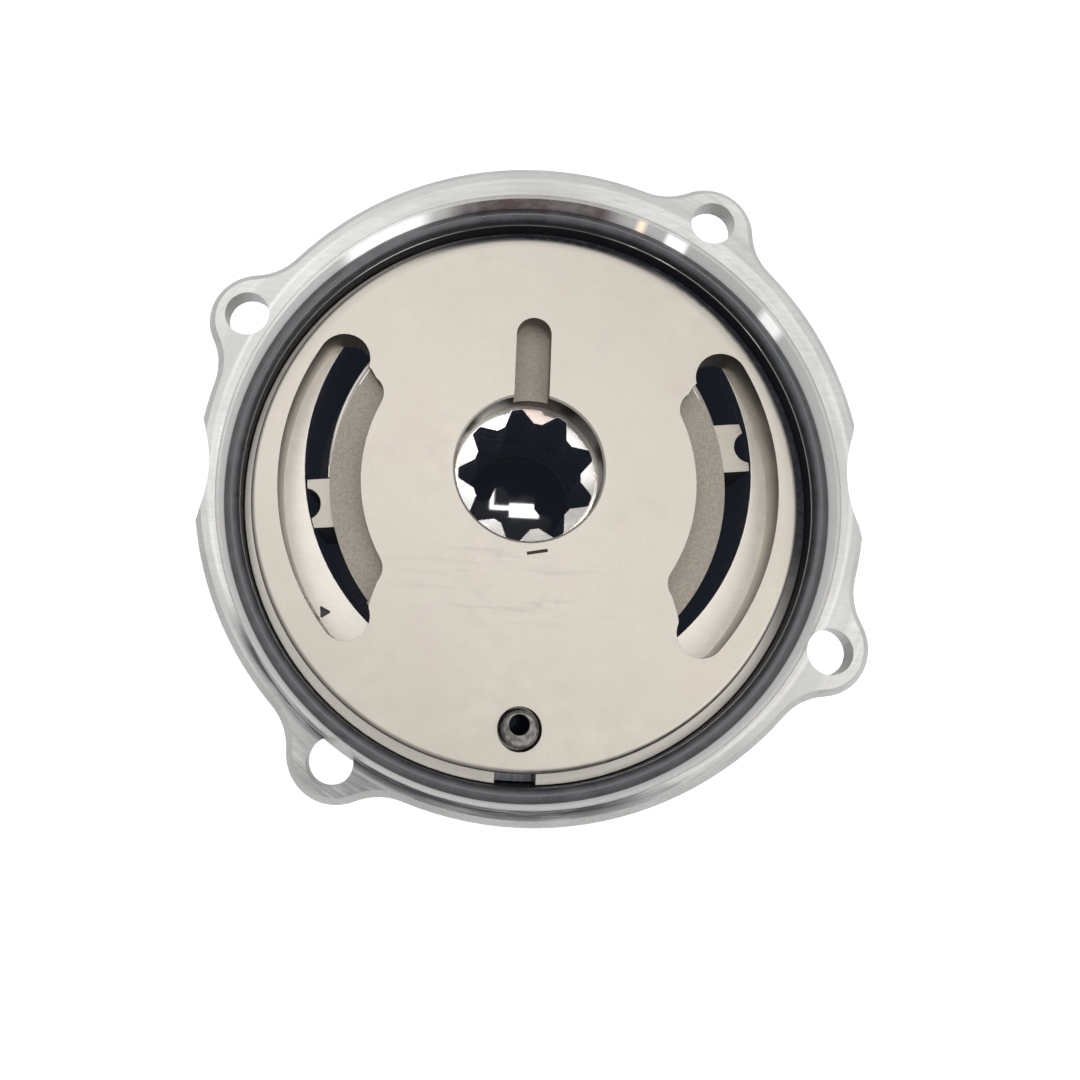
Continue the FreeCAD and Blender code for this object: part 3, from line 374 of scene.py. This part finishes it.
def ground_steel(name, lo, hi, rough=(0.30, 0.42), turn=0.0, dark_tool=None, tint_tool=None):
    """Ground steel with a fine straight lay. Deep and inner faces wear a black oil film that also stands in for their
    shade, lifted by a faint painted glow.
    """
    m = Mat(name)
    x, y, z = m.xyz()
    nx, ny, nz = m.normal()
    lay_vec = m.stretch(0.35, 7.0, 1.0, turn=turn)
    lay = m.noise(1.4, 6.0, 0.65, vec=lay_vec)
    mottle = m.noise(0.5, 4.0, 0.55)
    fine = m.noise(7.0, 4.0, 0.6)
    t = m.add(m.mul(lay, 0.45), m.add(m.mul(mottle, 0.35), m.mul(fine, 0.20)))
    col = m.mix(m.remap(t, 0.36, 0.64), lo, hi)
    rg = m.remap(t, 0.35, 0.65, rough[0], rough[1])
    metal = None
    fixed = {}
    if tint_tool is not None:
        col = tint_tool(m, col)
    if dark_tool is not None:
        oil_shade = dark_tool(m)
        patches = m.remap(m.noise(0.8, 4.0, 0.6), 0.30, 0.55, 0.90, 1.0)
        oil_shade = m.mul(oil_shade, patches)
        col = m.mix(oil_shade, col, (0.0100, 0.0110, 0.0155))
        rg = m.mixf(oil_shade, rg, 0.45)
        metal = m.mixf(oil_shade, 1.0, 0.0)
        fixed["Specular_IOR_Level"] = 0.22
        fixed["Emission_Color"] = VEIL_GLOW
        fixed["Emission_Strength"] = oil_shade
    nor = m.bump(t, 0.25, 0.015)
    return m.out(col, rg, 1.0 if metal is None else metal, nor, **fixed)


def oil_and_shade_on_rotor(m):
    nz = m.normal()[2]
    # black oil film on the spline flanks and side faces, also standing in for their shade
    return m.remap(nz, 0.90, 0.80)


def tint_on_rotor(m, col):
    """Tooth faces carry painted light and shade that change round the spline, with a painted highlight at the upper
    left; the rim carries turned lines under painted shade from the plate.
    """
    r = m.radius(ROTOR)
    a = m.angle(ROTOR)
    inner = m.remap(r, 9.6, 9.2)

    def painted_light_lobe(deg, width):
        return m.remap(m.math("COSINE", m.sub(a, math.radians(deg))), math.cos(math.radians(width)), 1.0, smooth=True)

    c = m.mix(m.remap(m.math("COSINE", m.sub(a, math.radians(115))), -0.9, 0.6), (0.235, 0.225, 0.215), (0.56, 0.555, 0.545))
    c = m.mix(painted_light_lobe(133, 34), c, (0.98, 0.98, 0.98))
    c = m.mix(m.mul(painted_light_lobe(86, 24), 0.85), c, (0.46, 0.36, 0.315))
    c = m.mix(m.mul(painted_light_lobe(22, 34), 0.7), c, (0.62, 0.59, 0.57))
    c = m.mix(m.mul(m.band(r, 8.35, 8.75, 0.10), 0.8), c, (0.66, 0.63, 0.57))
    col = m.mix(inner, col, c)
    # rim: turned lines under painted shade from the plate
    shaded_rim = m.remap(r, 22.6, 22.9)
    lines = m.noise(3.4, 2.0, 0.5, vec=m.vec(m.mul(r, 2.0), m.mul(a, 0.4), 0.0))
    rim_lines_shade_col = m.mix(m.remap(lines, 0.42, 0.58), (0.085, 0.075, 0.066), (0.52, 0.495, 0.45))
    return m.mix(m.mul(shaded_rim, 0.9), col, rim_lines_shade_col)


def oil_mark_and_shade_on_cam(m):
    x, y, z = m.xyz()
    nz = m.normal()[2]
    r = m.radius(CAM)
    a = m.angle((0.0, 0.0))
    # oil film on the bore walls, also standing in for their shade
    walls = m.mul(m.remap(nz, 0.90, 0.80), m.remap(r, 27.9, 27.6))
    # painted shadow line close to the plate, and a dark band on the side away from the pin
    outer = m.mul(m.remap(m.radius(PLATE), 31.2, 31.4), m.remap(z, -9.0, -8.0))
    plate_shadow_line = m.mul(outer, m.remap(m.radius((0.02, 0.25)), 32.75, 32.65))
    far_dark_band = m.mul(outer, m.band(a, math.radians(-20), math.radians(112), 0.30))
    mark = m.mul(m.mul(m.remap(z, -6.57, -6.62), m.remap(z, -6.9, -6.8)),
                 m.mul(m.band(x, -24.4, -21.8, 0.05), m.band(y, -16.4, -13.9, 0.05)))
    out = m.math("MAXIMUM", m.math("MAXIMUM", walls, mark), m.math("MAXIMUM", plate_shadow_line, far_dark_band))
    return out


def tint_on_cam(m, col):
    """The notch floor is painted a cool mid grey as shade in the recess."""
    x, y, z = m.xyz()
    notch = m.mul(m.mul(m.remap(z, -7.2, -7.6), m.band(x, -2.6, 2.6, 0.05)), m.remap(y, -30.0, -31.0))
    bars = m.noise(1.6, 3.0, 0.5, vec=m.stretch(3.0, 0.3, 1.0))
    return m.mix(notch, col, m.mix(m.remap(bars, 0.35, 0.65), (0.20, 0.212, 0.235), (0.30, 0.315, 0.345)))


def oil_and_shade_on_rear(m):
    z = m.xyz()[2]
    # black oil film deep in the rear plate, also standing in for shade
    return m.mul(m.remap(z, -26.0, -25.6), m.remap(m.radius((0.0, 0.0)), 33.0, 32.6))


def rubber_material(name):
    m = Mat(name)
    a = m.angle((0.0, 0.0))
    fine = m.noise(9.0, 4.0, 0.6)
    broad = m.noise(0.5, 3.0, 0.5)
    dust = m.noise(3.0, 6.0, 0.7)
    col = m.mix(m.remap(broad, 0.35, 0.65), (0.048, 0.049, 0.054), (0.076, 0.077, 0.085))
    col = m.mix(m.mul(m.remap(dust, 0.60, 0.75), 0.30), col, (0.11, 0.11, 0.12))
    nor = m.bump(fine, 0.25, 0.012)
    return m.out(col, m.remap(broad, 0.3, 0.7, 0.26, 0.38), 0.0, nor, Specular_IOR_Level=0.62)


def dark_steel(name):
    m = Mat(name)
    nz = m.normal()[2]
    wear = m.noise(1.6, 6.0, 0.65)
    fine = m.noise(8.0, 4.0, 0.6)
    col = m.mix(m.remap(wear, 0.35, 0.65), (0.075, 0.072, 0.070), (0.26, 0.25, 0.235))
    nor = m.bump(fine, 0.3, 0.012)
    return m.out(col, m.remap(wear, 0.3, 0.7, 0.26, 0.42), 1.0, nor)


def spring_material(name):
    m = Mat(name)
    wear = m.noise(1.8, 6.0, 0.65)
    fine = m.noise(9.0, 4.0, 0.6)
    ring = m.noise(1.2, 5.0, 0.6, vec=m.vec(m.mul(m.radius((0.0, 0.0)), 3.0), m.mul(m.angle((0.0, 0.0)), 2.0), 0.0))
    col = m.mix(m.remap(m.add(m.mul(wear, 0.6), m.mul(ring, 0.4)), 0.36, 0.64), (0.30, 0.305, 0.32), (0.50, 0.50, 0.51))
    nor = m.bump(m.add(fine, ring), 0.3, 0.010)
    return m.out(col, m.remap(wear, 0.3, 0.7, 0.25, 0.40), 1.0, nor)


def bronze_material(name):
    m = Mat(name)
    wear = m.noise(1.2, 6.0, 0.65)
    fine = m.noise(6.0, 5.0, 0.6)
    r = m.radius(ROTOR)
    # oil film on the bush top and bore, also standing in for shade, lifted by the faint painted glow
    bush_oil_shade = m.mul(m.remap(m.xyz()[2], -30.6, -30.2), m.remap(r, 9.9, 9.8))
    bush_oil_shade = m.mul(bush_oil_shade, m.remap(fine, 0.3, 0.6, 0.94, 1.0))
    col = m.mix(m.remap(wear, 0.35, 0.65), (0.30, 0.18, 0.075), (0.50, 0.33, 0.16))
    col = m.mix(bush_oil_shade, col, (0.0105, 0.0110, 0.0145))
    nor = m.bump(fine, 0.3, 0.015)
    rg = m.mixf(bush_oil_shade, m.remap(wear, 0.3, 0.7, 0.24, 0.42), 0.4)
    return m.out(col, rg, m.mixf(bush_oil_shade, 1.0, 0.0), nor, Specular_IOR_Level=0.22, Emission_Color=VEIL_GLOW, Emission_Strength=bush_oil_shade)


def gloss_black(name):
    m = Mat(name)
    z = m.xyz()[2]
    wave = m.noise(0.35, 3.0, 0.5, distort=0.4)
    fine = m.noise(6.0, 4.0, 0.6)
    outer = m.remap(z, -32.6, -33.2)
    col = m.mix(m.remap(wave, 0.35, 0.65), (0.0055, 0.0062, 0.0095), (0.0080, 0.0090, 0.0130))
    col = m.mix(m.mul(outer, m.remap(fine, 0.35, 0.65, 0.6, 1.0)), col, (0.030, 0.030, 0.032))
    rg = m.mixf(outer, 0.02, m.remap(fine, 0.3, 0.7, 0.28, 0.40))
    nor = m.bump(fine, 0.004, 0.01)
    # the faint painted glow lifts the black face
    return m.out(col, rg, 0.0, nor, Specular_IOR_Level=0.10, Emission_Color=VEIL_GLOW, Emission_Strength=0.85)


MATS = {
    "housing": housing_material(),
    "plate": plate_material("front_plate_steel", PLATE_TOP, True),
    "rear": ground_steel("rear_plate_steel", (0.44, 0.42, 0.385), (0.60, 0.58, 0.54), (0.34, 0.48), 0.4, oil_and_shade_on_rear),
    "cam": ground_steel("cam_ring_steel", (0.53, 0.497, 0.452), (0.66, 0.622, 0.570), (0.30, 0.42), 1.1, oil_mark_and_shade_on_cam, tint_on_cam),
    "rotor": ground_steel("rotor_steel", (0.50, 0.49, 0.48), (0.74, 0.73, 0.72), (0.24, 0.36), 0.3, oil_and_shade_on_rotor, tint_on_rotor),
    "guide": ground_steel("guide_ring_steel", (0.30, 0.30, 0.30), (0.48, 0.48, 0.48), (0.30, 0.42), 0.8),
    "vane": ground_steel("vane_steel", (0.35, 0.325, 0.283), (0.46, 0.43, 0.378), (0.34, 0.46), 0.9),
    "rubber": rubber_material("seal_rubber"),
    "pin": dark_steel("pin_steel"),
    "spring": spring_material("spring_steel"),
    "bush": bronze_material("bush_bronze"),
    "plug": gloss_black("plug_gloss_black"),
}

USES = {
    "pump_housing": "housing", "face_o_ring": "rubber", "front_port_plate": "plate", "cam_ring": "cam",
    "rotor": "rotor", "vane_1": "vane", "vane_2": "vane", "vane_3": "vane", "vane_4": "vane",
    "guide_ring_front": "guide", "guide_ring_rear": "guide", "sleeve_pin": "pin", "rear_locating_pin": "pin",
    "rear_port_plate": "rear", "outer_seal_ring": "rubber", "inner_seal_ring": "rubber",
    "disc_spring": "spring", "pilot_bush": "bush", "end_plug": "plug",
    "relief_poppet": "pin", "relief_spring": "spring", "relief_plug": "spring",
}

BEVELS = {
    "pump_housing": 0.22, "front_port_plate": 0.10, "cam_ring": 0.10, "rotor": 0.12, "rear_port_plate": 0.10,
    "vane_1": 0.08, "vane_2": 0.08, "vane_3": 0.08, "vane_4": 0.08, "guide_ring_front": 0.12, "guide_ring_rear": 0.12,
    "sleeve_pin": 0.05, "rear_locating_pin": 0.05, "disc_spring": 0.06, "pilot_bush": 0.08, "end_plug": 0.08,
    "relief_poppet": 0.06, "relief_plug": 0.10,
}



def edge_material():
    """Narrow broken edge of the plate: painted dark reflection in dull brown-grey."""
    m = Mat("plate_edge_dark_reflection")
    wear = m.noise(1.1, 5.0, 0.65)
    fine = m.noise(8.0, 3.0, 0.5)
    col = m.mix(m.remap(wear, 0.35, 0.65), (0.060, 0.050, 0.040), (0.30, 0.27, 0.23))
    return m.out(col, m.remap(wear, 0.3, 0.7, 0.40, 0.55), 0.85, m.bump(fine, 0.2, 0.01))


EDGE = edge_material()

for name, obj in nodes.items():
    mat = MATS[USES[name]]
    obj.data.materials.clear()
    obj.data.materials.append(mat)
    if name in BEVELS:
        w = obj.modifiers.new("weld", "WELD")
        w.merge_threshold = 2e-6
        fl = obj.modifiers.new("flat", "DECIMATE")
        fl.decimate_type = "DISSOLVE"
        fl.angle_limit = math.radians(0.25)
        bv = obj.modifiers.new("edge", "BEVEL")
        bv.width = BEVELS[name] * MM
        bv.segments = 2
        bv.limit_method = "ANGLE"
        bv.angle_limit = math.radians(38)
        bv.harden_normals = False
        bv.use_clamp_overlap = True
        bv.miter_outer = "MITER_ARC"
        if name == "front_port_plate":
            obj.data.materials.append(EDGE)
            bv.material = 1
        sm = obj.modifiers.new("normals", "WEIGHTED_NORMAL")
        sm.keep_sharp = False
        sm.weight = 90

# --------------------------------------------------------------------------
# relief spring: a smooth coil with closed, ground ends
# --------------------------------------------------------------------------
def coil_spring():
    cx, cy, mid, wire = 19.6, -11.2, 2.5, 0.25
    z0, z1 = -34.40 + wire + 0.02, -31.2 - wire - 0.02
    turns, steps, sides = 5.0, 300, 14
    verts, faces = [], []
    for i in range(steps + 1):
        u = i / steps
        a = 2 * math.pi * turns * u
        # dead coils at both ends, active coils between
        s = min(1.0, max(0.0, (u * turns - 0.75) / (turns - 1.5)))
        dead = 2 * wire * 0.06
        z = z0 + dead * min(u * turns, 0.75) + (z1 - z0 - 2 * dead * 0.75) * s + dead * max(0.0, u * turns - turns + 0.75)
        c = Vector((cx + mid * math.cos(a), cy + mid * math.sin(a), z))
        rise = (z1 - z0) / (2 * math.pi * (turns - 1.5)) if 0.0 < s < 1.0 else 0.0
        tan = Vector((-mid * math.sin(a), mid * math.cos(a), rise)).normalized()
        out = Vector((math.cos(a), math.sin(a), 0.0))
        side = tan.cross(out).normalized()
        for k in range(sides):
            b = 2 * math.pi * k / sides
            p = c + (out * math.cos(b) + side * math.sin(b)) * wire
            verts.append(tuple(p * MM))
    for i in range(steps):
        for k in range(sides):
            q, w = i * sides + k, i * sides + (k + 1) % sides
            faces.append((q, q + sides, w + sides, w))
    faces.append(tuple(range(sides)))
    faces.append(tuple(steps * sides + k for k in reversed(range(sides))))
    me = bpy.data.meshes.new("relief_coil")
    me.from_pydata(verts, [], faces)
    me.update()
    bm = bmesh.new()
    bm.from_mesh(me)
    bmesh.ops.recalc_face_normals(bm, faces=bm.faces)
    bm.to_mesh(me)
    bm.free()
    for poly in me.polygons:
        poly.use_smooth = len(poly.vertices) == 4
    o = bpy.data.objects.new("relief_coil", me)
    scene.collection.objects.link(o)
    me.materials.append(MATS["spring"])
    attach(o, "pump_body")
    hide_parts("relief_spring")
    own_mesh(o)
    return o


coil_spring()

# --------------------------------------------------------------------------
# floor, light and camera
# --------------------------------------------------------------------------
def floor():
    me = bpy.data.meshes.new("floor")
    bm = bmesh.new()
    s = 3.0
    zf = -0.0381
    vs = [bm.verts.new(p) for p in ((-s, -s, zf), (s, -s, zf), (s, s, zf), (-s, s, zf))]
    bm.faces.new(vs)
    bm.to_mesh(me)
    bm.free()
    o = bpy.data.objects.new("floor", me)
    scene.collection.objects.link(o)
    m = Mat("floor_paper")
    n = m.noise(0.02, 3.0, 0.5)
    me.materials.append(m.out(m.mix(n, (0.90, 0.90, 0.90), (0.94, 0.94, 0.94)), 0.9, 0.0,
                              Emission_Color=(1.0, 1.0, 1.0), Emission_Strength=0.32))
    return o


floor()


def area(name, loc, target, size, power, color=(1, 1, 1), size_y=None):
    d = bpy.data.lights.new(name, "AREA")
    d.energy = power
    d.color = color
    d.shape = "RECTANGLE"
    d.size = size
    d.size_y = size_y if size_y is not None else size
    o = bpy.data.objects.new(name, d)
    scene.collection.objects.link(o)
    o.location = loc
    o.rotation_euler = (Vector(target) - Vector(loc)).to_track_quat("-Z", "Y").to_euler()
    return o


area("key_softbox", (-0.45, 0.35, 0.75), (0, 0, 0), 0.50, 1.25)
area("top_softbox", (0.06, 0.26, 0.80), (0, 0, 0), 0.85, 1.25)
area("fill_softbox", (0.55, -0.25, 0.60), (0, 0, 0), 0.55, 2.3, (1.0, 0.985, 0.965))
# small window panes whose mirror image lies on the black plug
def pane(name, x, y, sx, sy, power):
    o = area(name, (x, y, 0.60), (x, y, 0.0), sx, power, (1, 1, 1), sy)
    o.rotation_euler = (0.0, 0.0, 0.0)
    return o


pane("pane_block", 0.0407, 0.1118, 0.022, 0.0105, 0.13)
pane("pane_bar", 0.0235, 0.1133, 0.0150, 0.0034, 0.026)
pane("pane_stroke", 0.0163, 0.1200, 0.0030, 0.0165, 0.026)

world = bpy.data.worlds.new("studio")
scene.world = world
world.use_nodes = True
wn, wl = world.node_tree.nodes, world.node_tree.links
wtc = wn.new("ShaderNodeTexCoord")
sep = wn.new("ShaderNodeSeparateXYZ")
wl.new(wtc.outputs["Generated"], sep.inputs[0])
ramp = wn.new("ShaderNodeMapRange")
ramp.interpolation_type = "SMOOTHSTEP"
ramp.inputs["From Min"].default_value = -0.2
ramp.inputs["From Max"].default_value = 0.9
ramp.inputs["To Min"].default_value = 0.42
ramp.inputs["To Max"].default_value = 0.68
wl.new(sep.outputs[2], ramp.inputs["Value"])
bg = wn["Background"]
bg.inputs["Color"].default_value = (1, 1, 1, 1)
wl.new(ramp.outputs["Result"], bg.inputs["Strength"])

cam_data = bpy.data.cameras.new("camera")
cam_obj = bpy.data.objects.new("camera", cam_data)
scene.collection.objects.link(cam_obj)
cam_data.sensor_fit = "HORIZONTAL"
cam_data.sensor_width = 36.0
cam_data.lens = 35.333
cam_data.shift_x = 0.0617
cam_data.shift_y = -0.0504
cam_data.clip_start = 0.005
cam_data.clip_end = 10.0
cam_obj.location = (-7.965 * MM, -23.57 * MM, 118.915 * MM)
cam_obj.rotation_mode = "XYZ"
cam_obj.rotation_euler = Euler((0.192, -0.022, 0.048), "XYZ")
scene.camera = cam_obj
scene.view_settings.view_transform = "Standard"
